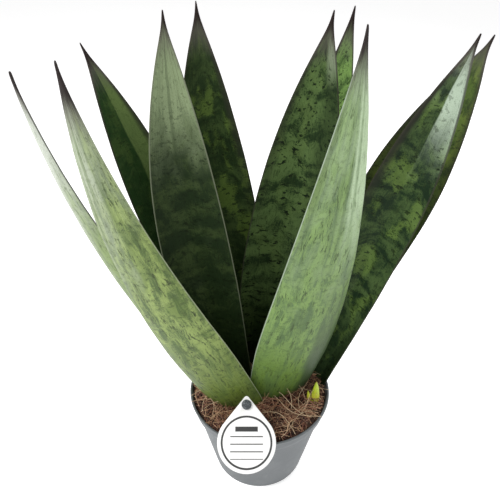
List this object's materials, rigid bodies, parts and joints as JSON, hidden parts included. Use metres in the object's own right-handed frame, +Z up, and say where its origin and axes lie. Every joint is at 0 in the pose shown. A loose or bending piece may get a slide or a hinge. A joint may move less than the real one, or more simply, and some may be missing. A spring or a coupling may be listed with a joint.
{
  "type": "potted snake plant",
  "caption": "Snake plant with upright sword-shaped mottled leaves, a young shoot and a coir mulch, in a small grey plastic nursery pot with a blank drop-shaped label.",
  "frame": {"origin": "centre of the pot's base, on the surface the pot stands on", "axes": "+Z up through the pot, -Y towards the side the label hangs over, +X to the right as seen from the label's side"},
  "size_m": [0.301, 0.1566, 0.395],
  "materials": {
    "pot_plastic": "satin grey injection-moulded plastic",
    "soil": "damp peat potting soil, loose",
    "coir": "loose coconut fibre",
    "rhizome": "waxy plant stem",
    "leaf_pale": "waxy pale green leaf with fine mottling",
    "leaf_dark": "waxy dark green leaf with cross bands",
    "shoot": "waxy yellow-green shoot",
    "label": "stiff white plastic card",
    "peg_plastic": "dark grey moulded plastic"
  },
  "bodies": {
    "root": {"pot": "pot_plastic", "potting_soil": "soil", "coir_top_dressing": "coir", "rhizome": "rhizome", "leaf_far_left": "leaf_pale", "leaf_front_left": "leaf_pale", "leaf_back_left": "leaf_dark", "leaf_centre_left": "leaf_dark", "leaf_back_centre_left": "leaf_dark", "leaf_centre": "leaf_dark", "leaf_back_centre": "leaf_dark", "leaf_front_right": "leaf_pale", "leaf_right": "leaf_dark", "leaf_back_right": "leaf_dark", "new_shoot": "shoot", "label_card": "label", "label_peg": "peg_plastic"}
  },
  "joints": []
}
